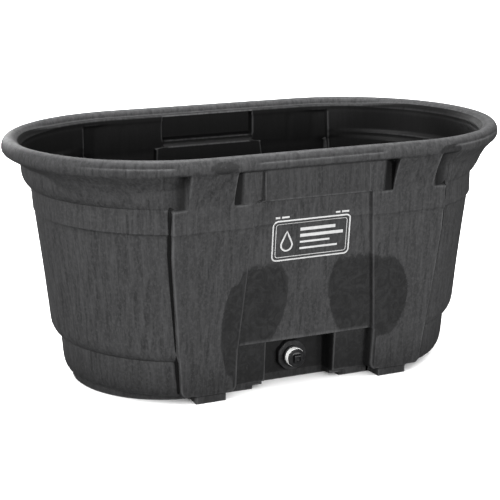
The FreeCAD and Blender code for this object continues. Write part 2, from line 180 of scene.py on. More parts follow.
BEAD_UNDER = [(515.0, 300.0), (570.0, 346.0), (575.0, 352.0), (579.0, 357.5), (583.5, 364.5),
              (588.0, 373.0), (592.5, 381.5), (597.0, 388.5), (602.0, 392.5), (RIM_WIDEST, HALF_WIDTH)]
SOFT_UNDER = [(511.0, 318.0), (514.0, 330.0), (519.0, 338.0), (528.0, 344.0), (545.0, 351.0),
              (560.0, 359.0), (575.0, 369.0), (588.0, 381.5), (596.0, 390.0), (601.0, 393.2),
              (RIM_WIDEST, HALF_WIDTH)]
CRISP_UNDER = [(515.0, 300.0), (591.0, 368.0), (594.0, 372.0), (596.5, 386.0), (599.0, 392.5),
               (RIM_WIDEST, HALF_WIDTH)]


def rim_under(places, level):
    """Outside of the rim below its widest line: a crisp edge over the panels, a soft
    flare beside the blocks and a round bead at the ends."""
    soft = mix(between(SOFT_UNDER, level), between(BEAD_UNDER, level), smooth((places - 640.0) / 170.0))
    return mix(between(CRISP_UNDER, level), soft, smooth((places - SIDE_POCKET_PLACE + 8.0) / 12.0))


SIDE_POCKET_PLACE = plan_place(SIDE_POCKET_END, SIDE_POCKET_FACE)

# ------------------------------------------------------------------ grid lines along the side
STEP_OFFSETS = (-10.0, -6.5, -4.2, -2.6, -1.3, 0.0, 1.3, 2.6, 4.2, 6.5, 10.0)
TOE_OFFSETS = (-2.0, 0.0, 2.0)
SEAM_OFFSETS = (-2.4, -1.2, 0.0, 1.2, 2.4)
BLOCK_OFFSETS = (-5.0, -2.0, 0.0, 2.0, 5.0)


def side_lines(level, cover):
    """Places of one quarter's grid lines, from the middle of the side to the nose."""
    lower = level - cover
    edge_cover = -cover if lower > PANEL_TOP + 3 else cover
    face = pilaster_face(lower) - cover
    block = between([(FOOT, 303.0), (60.0, 312.0), (400.0, BLOCK_OUTER)], lower)
    keys = [
        (RECESS_HALF + cover, STEP_OFFSETS, 9),
        (TOE_HALF, TOE_OFFSETS, 2),
        (inner_edge(lower) + edge_cover, STEP_OFFSETS, 3),
        (BLOCK_INNER + cover, STEP_OFFSETS, 5),
        (SEAM, SEAM_OFFSETS, 4),
        (block - cover, BLOCK_OFFSETS, 4),
        (plan_place(outer_edge(lower) + cover, face), STEP_OFFSETS, 3),
        (SIDE_POCKET_PLACE + cover, STEP_OFFSETS, 3),
        (NOSE, (0.0,), 58),
    ]
    places = [0.0]
    for key, offsets, filling in keys:
        places.extend(np.linspace(places[-1], key + offsets[0], filling + 2)[1:-1])
        places.extend(key + offset for offset in offsets)
    return np.array(places)


def edge_step(places, edge, run):
    return smooth((places - edge + run / 2) / run)


def lug_height(places, outer):
    """Height of the shallow nesting band above its lower line."""
    points = [(0.0, 13.0), (140.0, 12.0), (165.0, 20.0), (215.0, 27.0), (260.0, 21.0), (300.0, 17.0),
              (outer, 34.0), (560.0, 44.0), (700.0, 50.0), (NOSE, 50.0)]
    return between(points, places)


def double_step(level, foot, height):
    """0 below a moulded ledge and 1 above it, in two rounded steps."""
    t = (level - foot) / height
    return 0.5 * smooth(t / 0.42) + 0.5 * smooth((t - 0.58) / 0.42)


def rim_block_face(places, lower, across, cover):
    rise = np.clip((lower - BLOCK_FOOT) / (BLOCK_TOP - BLOCK_FOOT), 0.0, 1.0)
    seam = 0.9 * np.exp(-((places - SEAM) / 1.1) ** 2)
    return (mix(BLOCK_FOOT_FACE, BLOCK_TOP_FACE, rise ** 1.3) - cover - seam) / across


def inner_pocket_floor(places, level):
    """Shallow ramp that drops into a narrow deep slot beside the rim block."""
    plane = pilaster_face(level)
    ramp = np.clip((places - POCKET_RAMP_START) / (POCKET_RAMP_END - POCKET_RAMP_START), 0.0, 1.0)
    floor = plane - POCKET_RAMP_DEPTH * ramp ** 1.4
    return mix(floor, SLOT_FACE, smooth((places - POCKET_RAMP_END) / 4.0))


def outer_pocket_floor(places, level, wall, across):
    """Scoop that is deepest beside the rim block and runs out to the band."""
    run = np.clip((places - BLOCK_OUTER) / (SIDE_POCKET_PLACE - BLOCK_OUTER), 0.0, 1.0)
    band = np.maximum(wall, between(SOFT_UNDER, level))
    return mix(SIDE_POCKET_FACE / across, band - 3.0, smooth(run ** 0.75))


def pocket_ceiling(places):
    """Top of the side pockets, rounded down beside the rim block."""
    gap = np.where(places < SEAM, BLOCK_INNER - places, places - BLOCK_OUTER - 4.0)
    corner = np.clip(1.0 - gap / POCKET_CORNER, 0.0, 1.0)
    return POCKET_TOP - POCKET_CORNER * (1.0 - np.sqrt(1.0 - corner ** 2))


def outside_distance(places, level):
    """Distance of the tub's outside from the core line."""
    angle = np.maximum(places - ARC_CENTRE, 0.0) / HALF_WIDTH
    across = np.maximum(np.cos(angle), 0.05)
    wall = wall_distance(angle, level)
    face = pilaster_face(level) / across
    edge = inner_edge(level)
    outer = plan_place(outer_edge(level), pilaster_face(level))

    below = mix(middle_distance(level), face, edge_step(places, edge, 7.0))
    below = mix(below, wall, edge_step(places, outer, 10.0))
    rise = np.clip((level - LUG_FOOT) / lug_height(places, outer), 0.0, 1.0)
    fade = np.clip((NOSE - places) / 260.0, 0.0, 1.0) * mix(0.42, 1.0, edge_step(places, outer, 12.0))
    below = below + LUG_PROUD * fade * (1.0 - rise) * smooth((level - LUG_FOOT + 7.0) / 7.0)

    above = mix(HEAD_FACE, inner_pocket_floor(places, level), edge_step(places, edge, 6.0))
    block = rim_block_face(places, level, across, 0.0)
    above = mix(above, block, edge_step(places, BLOCK_INNER, 4.0))
    scoop = outer_pocket_floor(places, level, wall, across)
    above = mix(above, scoop, smooth((places - BLOCK_OUTER) / 6.0))
    above = mix(above, wall, edge_step(places, SIDE_POCKET_PLACE, 4.0))
    pocket = (places > edge) & (places < BLOCK_INNER)
    pocket = pocket | ((places > BLOCK_OUTER + 4.0) & (places < SIDE_POCKET_PLACE))
    going_out = smooth((level - PANEL_TOP + 6.0) / 8.0)
    going_in = smooth((level - PANEL_TOP + 8.0) / 6.0)
    distance = mix(below, above, np.where(pocket, going_in, going_out))

    recess = edge_step(-places, -RECESS_HALF, 4.0) * smooth((PANEL_BOTTOM + 1.0 - level) / 2.5)
    distance = mix(distance, RECESS_FACE, recess)
    foot = FOOT_RADIUS - END_LEAN * np.sin(angle)
    pad = edge_step(places, PAD_INNER, 4.0) * edge_step(-places, -303.0, 4.0)
    foot = mix(foot, PAD_FACE, pad)
    toe = smooth((TOE_RISE - level) / 3.0) * edge_step(-places, -TOE_HALF, 3.0)
    foot = mix(foot, RECESS_FACE, np.maximum(toe, recess))
    distance = mix(foot, distance, smooth((level - FOOT + 2.0) / 5.0))
    if level > PANEL_TOP:
        covered = np.maximum(distance, rim_under(places, level))
        closing = smooth((level - pocket_ceiling(places) + 2.0) / 5.0)
        distance = np.where(pocket, mix(distance, covered, closing), covered)
    return distance


def inside_distance(places, level):
    """Distance of the tub's inside from the core line."""
    lower = level - GAUGE
    angle = np.maximum(places - ARC_CENTRE, 0.0) / HALF_WIDTH
    across = np.maximum(np.cos(angle), 0.05)
    face = (pilaster_face(lower) - GAUGE) / across
    edge = inner_edge(lower) + (-GAUGE if lower > PANEL_TOP + 3 else GAUGE)
    outer = plan_place(outer_edge(lower) + GAUGE, pilaster_face(lower) - GAUGE)
    wall_high = HALF_WIDTH - between([(BAND_STEP, 57.0), (RIM_INNER_FOOT, 50.5)], level)
    plain = wall_distance(angle, min(lower, BAND_STEP)) - GAUGE
    wall = mix(plain, wall_high, double_step(level, BAND_STEP + 5.0, 32.0))
    middle = middle_distance(min(lower, PANEL_TOP)) - GAUGE
    middle = mix(middle, HEAD_FACE - GAUGE, double_step(level, CHANNEL_FOOT - 26.0, 28.0))
    block = np.minimum(INNER_BLOCK_FACE / across, INNER_BLOCK_FACE + 4.5)
    flush = mix(face, block, smooth((level - PANEL_TOP + 20.0) / 30.0))
    for seam in INNER_SEAMS:
        groove = INNER_SEAM_DEPTH * np.exp(-((places - seam) / INNER_SEAM_WIDTH) ** 2)
        groove = groove * smooth((level - 505.0) / 40.0)
        flush = flush + groove * smooth((598.0 - level) / 10.0)
    distance = mix(middle, flush, edge_step(places, edge, 7.0))
    distance = mix(distance, wall, edge_step(places, outer, 10.0))
    recess = edge_step(-places, -(RECESS_HALF + GAUGE), 4.0)
    recess = recess * smooth((PANEL_BOTTOM + GAUGE + 1.0 - level) / 2.5)
    distance = mix(distance, RECESS_FACE - GAUGE, recess)
    head = edge_step(-places, -edge, 3.0)
    closed = mix(smooth((level - 596.0) / 6.0), smooth((level - CHANNEL_TOP) / 4.0), head)
    return mix(distance, RIM_INNER, closed)


def tub_distance(places, level, cover):
    return inside_distance(places, level) if cover else outside_distance(places, level)


# ------------------------------------------------------------------ rows of the tub's grid
def spread(start, end, count):
    return list(np.linspace(start, end, count, endpoint=False))


def outside_levels():
    """From the ground up to the rim's underside, closest where the shape turns."""
    levels = [0.0, 1.2, 3.5, 6.0, 7.5, 9.0, 11.0, 14.0, 17.0]
    levels += [18.2, 19.2, 20.2, 21.2, 22.2, 23.5, 26.0, 30.0]
    levels += spread(34.0, 113.0, 11)
    levels += [113.0, 116.0, 117.6, 118.2, 119.0, 120.5, 122.5, 125.0, 128.0, 130.5]
    levels += [132.5, 134.0, 135.0, 135.8, 136.8, 137.8, 139.0, 141.0]
    levels += spread(148.0, 444.0, 30)
    levels += [444.0, 448.0, 450.0, 450.8, 451.4, 452.0, 453.0, 456.0]
    levels += [461.0, 467.0, 474.0, 481.0, 488.0, 494.0]
    levels += [499.0, 503.0, 506.0, 508.0, 509.5, 510.6, 511.2, 512.0, 513.0, 514.0, 515.5, 517.0]
    levels += [519.0, 521.5, 525.0, 529.0, 533.0, 538.0, 543.0, 548.0]
    levels += [553.0, 556.0, 558.5, 561.0, 563.5, 566.0, 569.0, 572.0]
    levels += [575.0, 578.0, 580.5, 582.5, 584.0, 585.5, 587.0, 589.0, 591.5, 594.5, 598.0, 603.0]
    return levels


def inside_levels():
    """From the rim's inner roll down to the floor."""
    levels = [610.4, 608.5, 606.0, 603.0, 600.0, 597.5, 595.0, 590.0, 584.0]
    levels += spread(578.0, 554.0, 4)
    levels += spread(554.0, 500.0, 34)
    levels += [500.0, 496.0, 490.0, 483.0, 475.0, 465.0]
    levels += [460.0, 459.0, 458.0, 455.0]
    levels += spread(445.0, 150.0, 20)
    levels += [149.0, 145.0, 143.0, 142.0, 141.0, 139.0, 135.0, 128.0]
    levels += [120.0, 113.0, 107.0, 105.0, 104.2, 103.5, 101.0]
    levels += spread(95.0, FLOOR + FLOOR_ROUND, 4)
    return levels


def round_rim():
    """Section of the rim at the ends: one smooth roll, as (distance, height)."""
    points = []
    for turn in np.linspace(0.0, math.pi / 2, 16):
        points.append((RIM_CREST + (HALF_WIDTH - RIM_CREST) * math.cos(turn),
                       RIM_WIDEST + (HEIGHT - RIM_WIDEST) * math.sin(turn)))
    for turn in np.linspace(0.0, math.radians(61.0), 14)[1:]:
        points.append((RIM_CREST - (RIM_CREST - RIM_INNER) * math.sin(turn),
                       RIM_INNER_FOOT + (HEIGHT - RIM_INNER_FOOT) * math.cos(turn)))
    return points


def lipped_rim():
    """Section of the rim along the sides: a roll standing on a flange with lips."""
    roll = 14.0
    middle = HEIGHT - roll
    points = [(HALF_WIDTH, RIM_WIDEST), (HALF_WIDTH, 612.5), (HALF_WIDTH - 0.5, 615.2),
              (HALF_WIDTH - 1.8, 616.8), (HALF_WIDTH - 3.4, 617.2), (HALF_WIDTH - 4.6, 617.6)]
    for turn in np.linspace(math.radians(-12.0), math.radians(190.0), 22):
        points.append((RIM_CREST + roll * math.cos(turn), middle + roll * math.sin(turn)))
    points += [(RIM_INNER + 15.0, 617.6), (RIM_INNER + 11.0, 617.4), (RIM_INNER + 6.0, 616.9),
               (RIM_INNER + 2.5, 615.6), (RIM_INNER + 0.6, 613.4), (RIM_INNER, 610.8)]
    return points


def even_stations(points, count):
    points = np.array(points)
    run = np.concatenate([[0.0], np.cumsum(np.linalg.norm(np.diff(points, axis=0), axis=1))])
    stations = np.linspace(0.0, run[-1], count)
    return np.interp(stations, run, points[:, 0]), np.interp(stations, run, points[:, 1])


def lip_share(places, inward):
    """1 where the rim has its lips, 0 round the ends and outside the rim blocks."""
    share = smooth((680.0 - places) / 210.0)
    block = smooth((places - 158.0) / 14.0) * smooth((382.0 - places) / 14.0)
    return share * (1.0 - block * (1.0 - smooth((inward - 0.45) / 0.2)))


def rim_rows(places):
    """Rim rows as (share of the way to the inside, distance, height)."""
    count = RIM_ROW_COUNT
    round_out, round_up = even_stations(round_rim(), count)
    lipped_out, lipped_up = even_stations(lipped_rim(), count)
    for row in range(count):
        share = lip_share(places, row / (count - 1.0))
        radius = mix(round_out[row], lipped_out[row], share)
        level = mix(round_up[row], lipped_up[row], share)
        yield row / (count - 1.0), radius, level


UNDERSIDE_SHARES = (0.0, 0.3, 0.6, 0.9, 0.99)
RING_DROPS = (1.0, 6.0, 14.0, 19.0)
BASE_SHARES = (0.03, 0.35, 0.7, 0.97)
FLOOR_SHARES = (0.97, 0.85, 0.7, 0.5, 0.3, 0.1, 0.0)
RIM_ROW_COUNT = 44
RIM_ROWS_INSIDE = 6
# the grid's first row inside the tub, after the underside, the outside and most of the rim
INSIDE_START = (len(UNDERSIDE_SHARES) + len(RING_DROPS) + len(BASE_SHARES)
                + len(outside_levels()) + RIM_ROW_COUNT - RIM_ROWS_INSIDE)


def quarter_rows():
    """Every row of one quarter as (places, distance, height), from under the floor,
    up the outside, over the rim and down the inside to the middle of the floor."""
    rows = []
    places = side_lines(FOOT, 0.0)
    angle = np.maximum(places - ARC_CENTRE, 0.0) / HALF_WIDTH
    ring = RING_INNER + RING_INNER_SPREAD * np.sin(angle)
    for share in UNDERSIDE_SHARES:
        rows.append((places, ring * share, FOOT))
    for drop in RING_DROPS:
        rows.append((places, ring, FOOT - drop))
    places = side_lines(0.0, 0.0)
    base = tub_distance(places, 0.0, 0.0)
    for share in BASE_SHARES:
        rows.append((places, mix(ring, base - 1.0, share), 0.0))
    for level in outside_levels():
        places = side_lines(level, 0.0)
        rows.append((places, tub_distance(places, level, 0.0), level))
    outer = places
    inner = side_lines(617.0, GAUGE)
    for share, radius, level in rim_rows(outer):
        rows.append((mix(outer, inner, share), radius, level))
    for level in inside_levels():
        places = side_lines(level, GAUGE)
        rows.append((places, tub_distance(places, level, GAUGE), level))
    places = side_lines(FLOOR + FLOOR_ROUND, GAUGE)
    edge = tub_distance(places, FLOOR + FLOOR_ROUND, GAUGE)
    for turn in np.linspace(0.0, math.pi / 2, 8)[1:]:
        inward = FLOOR_ROUND * (1.0 - math.cos(turn))
        rows.append((places, edge - inward, FLOOR + FLOOR_ROUND * (1.0 - math.sin(turn))))
    rim_of_floor = edge - FLOOR_ROUND
    for share in FLOOR_SHARES:
        rows.append((places, rim_of_floor * share, FLOOR))
    return rows


def whole_loop(places, distance, level):
    """Mirrors one quarter's row round the whole tub, from the middle of the front side
    through the +X end, the back and the -X end. Returns x, y and z along it."""
    angle = np.maximum(places - ARC_CENTRE, 0.0) / HALF_WIDTH
    core = np.minimum(places, ARC_CENTRE)
    x = core + distance * np.sin(angle)
    y = distance * np.cos(angle)
    count = len(places)
    onward = np.arange(count)
    quarters = [
        (onward, 1, -1),
        (onward[-2::-1], 1, 1),
        (onward[1:], -1, 1),
        (onward[-2:0:-1], -1, -1),
    ]
    loop_x = np.concatenate([side_x * x[index] for index, side_x, side_y in quarters])
    loop_y = np.concatenate([side_y * y[index] for index, side_x, side_y in quarters])
    z = np.broadcast_to(level, places.shape)
    loop_z = np.concatenate([z[index] for index, side_x, side_y in quarters])
    return loop_x, loop_y, loop_z


def wander(x, y, z):
    """Slow moulding irregularity, as a push away from the middle, in mm."""
    push = 0.55 * np.sin(x / 83.0 + 1.3) * np.sin(z / 71.0 + 0.4)
    push = push + 0.45 * np.sin(x / 47.0 + y / 61.0 + z / 150.0)
    push = push + 0.3 * np.sin(y / 38.0 - z / 55.0 + 2.0)
    return push


def tub_grid():
    grid = []
    for places, distance, level in quarter_rows():
        grid.append(np.stack(whole_loop(places, distance, level), axis=1))
    return np.array(grid)


def merge_close(mesh, distance):
    work = bmesh.new()
    work.from_mesh(mesh)
    bmesh.ops.remove_doubles(work, verts=work.verts, dist=distance)
    bmesh.ops.recalc_face_normals(work, faces=work.faces)
    work.to_mesh(mesh)
    work.free()


def convexity(points):
    """How sharply each grid point's surroundings fall away, for wear on the edges."""
    across = np.roll(points, -1, 1) - np.roll(points, 1, 1)
    along = np.gradient(points, axis=0)
    normal = np.cross(across, along)
    normal /= np.maximum(np.linalg.norm(normal, axis=2, keepdims=True), 1e-9)
    total = np.zeros(points.shape[:2])
    for axis, shift in ((0, 1), (0, -1), (1, 1), (1, -1)):
        step = np.roll(points, shift, axis) - points
        turn = np.roll(normal, shift, axis) - normal
        length = np.maximum((step ** 2).sum(2), 4.0)
        total += (step * turn).sum(2) / length
    total /= 4.0
    for _ in range(2):
        total = 0.4 * total + 0.15 * (np.roll(total, 1, 0) + np.roll(total, -1, 0)
                                      + np.roll(total, 1, 1) + np.roll(total, -1, 1))
    return total


def soft_spot(x, z, centre_x, centre_z, half_x, half_z):
    """1 inside a soft-edged oval, 0 outside."""
    reach = np.sqrt(((x - centre_x) / half_x) ** 2 + ((z - centre_z) / half_z) ** 2)
    return 1.0 - smooth((reach - 0.7) / 0.4)


# flow patches on the drain side, and painted shade patches: the two flow patches beside the label narrow
# to a neck between them
PATCH_REACH = 200.0
PATCH_FOOT = 118.0
PATCH_TOP = 385.0
NECK_LEVEL = 270.0
NECK_RUN = 150.0
NECK_HALF = 40.0
NECK_SPREAD = 55.0
# oval patches, as centre x and z, then half length and half height
RIGHT_PILASTER_PATCH = (215.0, 225.0, 74.0, 122.0)
LEFT_PILASTER_PATCH = (-200.0, 185.0, 40.0, 140.0)
# the two rim patches are painted shade in the blend between the rim and the rim blocks
RIGHT_RIM_PATCH = (362.0, 606.0, 42.0, 17.0)
LEFT_RIM_PATCH = (-255.0, 611.0, 44.0, 20.0)
PILASTER_START = 180.0
# how strongly each sheltered part is darkened
RECESS_SHADE = 0.62
SCOOP_SHADE = 0.85
HEAD_SHADE = 0.22
FOOT_SHADE = 0.42
FOOT_SHADE_TOP = 150.0


def flow_marks_and_painted_shade(x, y, z):
    """Where the plastic's flow front left darker patches on the drain side, soft at the edge, with painted
    shade added along the lower middle and on the rim beside the blocks; the material tears their outline
    with noise."""
    front = (y < -180) & (z > 20)
    neck = NECK_HALF + NECK_SPREAD * ((z - NECK_LEVEL) / NECK_RUN) ** 2
    left = smooth((-neck - x) / 34.0) * smooth((x + PATCH_REACH) / 20.0)
    right = smooth((x - neck) / 34.0) * smooth((PATCH_REACH - x) / 20.0)
    tall = smooth((PATCH_TOP - z) / 80.0) * smooth((z - PATCH_FOOT) / 20.0)
    patch = (left + right) * tall
    on_right = soft_spot(x, z, *RIGHT_PILASTER_PATCH) * (x > PILASTER_START)
    on_left = soft_spot(x, z, *LEFT_PILASTER_PATCH) * (x < -PILASTER_START)
    pilaster = np.maximum(on_right, on_left)
    # painted shade: the lower middle of the drain side is darkened
    low = smooth((140.0 - z) / 12.0) * (np.abs(x) < PATCH_REACH) * 0.75
    # painted shade on the rim beside the rim blocks
    rim = 0.6 * soft_spot(x, z, *LEFT_RIM_PATCH) + 0.75 * soft_spot(x, z, *RIGHT_RIM_PATCH)
    return np.where(front, np.clip(patch + pilaster + low + rim, 0.0, 1.0), 0.0)


def sheltered(x, y, z):
    """Darkening of the parts in deep shade: the drain recess, the slots and scoops
    beside the rim blocks, the panel between the blocks, and the foot."""
    reach = np.abs(x)
    recess = (reach < RECESS_HALF + 3.0) * (z < PANEL_BOTTOM + 1.0) * (np.abs(y) < 240.0)
    lower = (z > BLOCK_FOOT) & (z < POCKET_TOP + 2.0)
    slot = lower * smooth((reach - 186.0) / 12.0) * smooth((217.0 - reach) / 3.0)
    scoop = lower * SCOOP_SHADE * smooth((reach - 338.0) / 3.0)
    scoop = scoop * smooth((388.0 - reach) / 44.0) * (np.abs(y) > 300.0)
    head = (reach < HEAD_HALF) * (z > PANEL_TOP) * (z < 595.0) * (np.abs(y) > 355.0)
    foot = FOOT_SHADE * smooth((FOOT_SHADE_TOP - z) / FOOT_SHADE_TOP)
    return np.maximum.reduce([RECESS_SHADE * recess, slot, scoop, HEAD_SHADE * head, foot])


def build_tub(material):
    grid = tub_grid()
    rows, columns = grid.shape[:2]
    points = grid.copy()
    x, y, z = points[:, :, 0], points[:, :, 1], points[:, :, 2]
    outwards = np.stack([np.where(np.abs(x) > ARC_CENTRE, x - np.sign(x) * ARC_CENTRE, 0.0), y], axis=2)
    reach = np.linalg.norm(outwards, axis=2, keepdims=True)
    outwards = np.where(reach > 1.0, outwards / np.maximum(reach, 1.0), 0.0)
    calm = smooth((reach[:, :, 0] - 60.0) / 60.0) * smooth((605.0 - z) / 40.0) * smooth((z - 22.0) / 20.0)
    push = wander(x, y, z) * calm
    # edge wear from the convexity, plus a painted highlight along the top of the rim crest
    wear_and_highlight = convexity(points) + 0.055 * smooth((z - 629.0) / 5.0)
    wear_and_highlight = wear_and_highlight * smooth((reach[:, :, 0] - 90.0) / 60.0)
    points[:, :, 0] += outwards[:, :, 0] * push
    points[:, :, 1] += outwards[:, :, 1] * push

    index = np.arange(rows * columns).reshape(rows, columns)
    start = index[:-1, :].ravel()
    above = index[1:, :].ravel()
    right = np.roll(index, -1, 1)[:-1, :].ravel()
    above_right = np.roll(index, -1, 1)[1:, :].ravel()
    faces = np.stack([start, right, above_right, above], axis=1)

    mesh = bpy.data.meshes.new("moulded_tub")
    mesh.from_pydata((points.reshape(-1, 3) * MM).tolist(), [], faces.tolist())
    patch = flow_marks_and_painted_shade(x, y, z).ravel()
    # painted shade: every row inside the tub, plus the sheltered parts outside, is darkened in the colour
    inside = np.zeros((rows, columns))
    inside[INSIDE_START:, :] = 1.0
    shade = np.clip(inside + sheltered(x, y, z), 0.0, 1.0).ravel()
    for name, values in (("edge_wear_and_crest_highlight", wear_and_highlight.ravel() * 6.0), ("flow_marks_and_shade", patch), ("painted_shade", shade)):
        layer = mesh.attributes.new(name, "FLOAT", "POINT")
        layer.data.foreach_set("value", np.clip(values, -1.0, 1.0).astype(np.float32))
    merge_close(mesh, 0.00002)
    tub = bpy.data.objects.new("moulded_tub", mesh)
    bpy.context.scene.collection.objects.link(tub)
    for polygon in mesh.polygons:
        polygon.use_smooth = True
    mesh.materials.append(material)
    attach(tub, "tub")
    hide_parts("tank_shell")
    return tub


# ------------------------------------------------------------------ label line work
LABEL_LOW, LABEL_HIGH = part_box("front_label")
LABEL_HALF = LABEL_HIGH[0] / MM - 2.0
LABEL_BOTTOM = LABEL_LOW[2] / MM + 1.5
LABEL_TOP = LABEL_HIGH[2] / MM - 14.0
INK = 0.45
FRAME_CORNER = 12.0
FRAME_LINE = 3.6
FRAME_GAP = 8.0
INNER_CORNER = 7.0
INNER_LINE = 1.6
DROP_PLACE = (38.0, 24.0)
DROP_RADIUS = 15.0
DROP_HEIGHT = 50.0
DROP_LINE = 4.2
# level marks beside the drop, as (length, width) from the top one down
BARS = ((96.0, 8.0), (118.0, 8.0), (82.0, 5.0), (104.0, 5.0))
BAR_START = 74.0
BAR_TOP = 26.0
BAR_SPACING = 16.5
# pairs of short dashes above the frame, as (start, length) within a pair
DASH_PAIRS = (-100.0, 64.0)
DASHES = ((0.0, 12.0), (17.0, 20.0))
DASH_RISE = 9.0
DASH_LINE = 4.5


def on_panel(x, z, lift):
    """Point lying a little off the tub's real, slightly uneven panel."""
    y = -float(outside_distance(np.array([abs(x)]), z)[0])
    return (x, y - wander(x, y, z) - lift, z)


def rounded_box(left, bottom, right, top, radius):
    """Closed outline of a rounded rectangle, as (x, z)."""
    points = []
    corners = ((right, top, 0.0), (left, top, 90.0), (left, bottom, 180.0), (right, bottom, 270.0))
    for corner_x, corner_z, start in corners:
        inward_x = math.copysign(radius, corner_x - (left + right) / 2)
        inward_z = math.copysign(radius, corner_z - (bottom + top) / 2)
        for turn in np.linspace(start, start + 90.0, 7):
            points.append((corner_x - inward_x + radius * math.cos(math.radians(turn)),
                           corner_z - inward_z + radius * math.sin(math.radians(turn))))
    return points


def subdivided(points, closed, longest=12.0):
    """Adds points so that the line follows the panel."""
    ends = points[1:] + points[:1] if closed else points[1:]
    result = []
    for (x, z), (next_x, next_z) in zip(points, ends):
        parts = max(1, int(math.hypot(next_x - x, next_z - z) / longest))
        for part in range(parts):
            result.append((mix(x, next_x, part / parts), mix(z, next_z, part / parts)))
    return result if closed else result + [points[-1]]


def add_stroke(work, points, width, closed):
    """Raised printed line of even width along (x, z) points."""
    points = subdivided(points, closed)
    count = len(points)
    rings = []
    for number, (x, z) in enumerate(points):
        before = points[number - 1] if closed or number else points[0]
        after = points[(number + 1) % count] if closed or number < count - 1 else points[-1]
        along = Vector((after[0] - before[0], after[1] - before[1])).normalized()
        side_x, side_z = along.y * width / 2, -along.x * width / 2
        ring = []
        for side, lift in ((-1, -INK), (-1, INK), (1, INK), (1, -INK)):
            ring.append(work.verts.new(on_panel(x + side * side_x, z + side * side_z, lift)))
        rings.append(ring)
    pairs = list(zip(rings, rings[1:])) + ([(rings[-1], rings[0])] if closed else [])
    for ring, following in pairs:
        for corner in range(4):
            onward = (corner + 1) % 4
            work.faces.new((ring[corner], ring[onward], following[onward], following[corner]))
    if not closed:
        work.faces.new(rings[0])
        work.faces.new(rings[-1][::-1])


def drop_outline(centre_x, bottom, radius, height):
    """Water drop: a circle drawn up to a point."""
    points = []
    for turn in np.linspace(-210.0, 30.0, 25):
        points.append((centre_x + radius * math.cos(math.radians(turn)),
                       bottom + radius + radius * math.sin(math.radians(turn))))
    return points + [(centre_x, bottom + height)]


def build_label(material):
    """Generic white line work: a double frame, a water drop and level marks."""
    work = bmesh.new()
    left, right, low, high = -LABEL_HALF, LABEL_HALF, LABEL_BOTTOM, LABEL_TOP
    add_stroke(work, rounded_box(left, low, right, high, FRAME_CORNER), FRAME_LINE, True)
    inner = (left + FRAME_GAP, low + FRAME_GAP, right - FRAME_GAP, high - FRAME_GAP)
    add_stroke(work, rounded_box(*inner, INNER_CORNER), INNER_LINE, True)
    drop = drop_outline(left + DROP_PLACE[0], low + DROP_PLACE[1], DROP_RADIUS, DROP_HEIGHT)
    add_stroke(work, drop, DROP_LINE, True)
    for row, (length, width) in enumerate(BARS):
        level = high - BAR_TOP - BAR_SPACING * row
        start = left + BAR_START
        add_stroke(work, [(start, level), (start + length, level)], width, False)
    for pair in DASH_PAIRS:
        for dash, length in DASHES:
            level = high + DASH_RISE
            start = pair + dash
            add_stroke(work, [(start, level), (start + length, level)], DASH_LINE, False)
    bmesh.ops.scale(work, vec=(MM, MM, MM), verts=work.verts)
    bmesh.ops.recalc_face_normals(work, faces=work.faces)
    mesh = bpy.data.meshes.new("label_line_work")
    work.to_mesh(mesh)
    work.free()
    label = bpy.data.objects.new("label_line_work", mesh)
    bpy.context.scene.collection.objects.link(label)
    mesh.materials.append(material)
    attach(label, "tub")
    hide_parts("front_label")
    return label


# ------------------------------------------------------------------ drain plug
PLUG_LOW, PLUG_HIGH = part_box("drain_plug")
SEAL_LOW, SEAL_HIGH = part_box("plug_seal")
PLUG_HEIGHT = (SEAL_LOW[2] + SEAL_HIGH[2]) / 2 / MM
THREAD_END = -PLUG_HIGH[1] / MM
SEAL_BACK = -SEAL_HIGH[1] / MM
SEAL_FRONT = -SEAL_LOW[1] / MM
GRIP_END = -PLUG_LOW[1] / MM
THREAD_RADIUS = 21.0
THREAD_PITCH = 2.209
THREAD_DEPTH = 1.2
THREAD_RUN_IN = 2.0
THREAD_RELIEF = 3.0
ROWS_PER_PITCH = 8
HOLLOW_RADIUS = 14.0
HOLLOW_DEPTH = 3.0
LIP_RADIUS = 15.0
LEAD_IN = 2.2
NECK_RADIUS = 16.0
HEAD_RADIUS = 24.4
HEAD_GAUGE = 3.5
HEAD_BEVEL = 1.6
FACE_DISH = 0.7
GRIP_HALF = 10.5
GRIP_CORNER = 3.0
PLUG_SIDES = 96


def around(radius, turn, depth):
    """Point about the drain's axis, depth in front of the centre plane."""
    return (radius * math.cos(turn), -depth, PLUG_HEIGHT + radius * math.sin(turn))


def square_radius(turn, half, corner):
    """Distance to a square's edge with rounded corners."""
    c = abs(math.cos(turn))
    s = abs(math.sin(turn))
    power = half / corner * 2.2
    return half / (c ** power + s ** power) ** (1.0 / power)


def even(radius):
    """Radius of a ring that is the same all round."""
    return lambda turn: radius


def squared(half):
    """Radius of a ring of the square grip."""
    return lambda turn: square_radius(turn, half, GRIP_CORNER)


def threaded(depth):
    """Radius of a ring through the thread, which climbs one pitch in each turn."""
    fade = min(1.0, (depth - THREAD_END) / THREAD_RUN_IN)

    def radius_at(turn):
        phase = (depth / THREAD_PITCH + turn / (2 * math.pi)) % 1.0
        crest = THREAD_DEPTH * abs(2.0 * phase - 1.0)
        return THREAD_RADIUS - THREAD_DEPTH * (1.0 - fade) - crest

    return radius_at


def thread_rings():
    length = SEAL_BACK - THREAD_RELIEF - THREAD_END
    count = int(length / THREAD_PITCH * ROWS_PER_PITCH)
    rings = []
    for step in range(count + 1):
        depth = THREAD_END + 0.6 + length * step / count
        rings.append((threaded(depth), depth))
    return rings


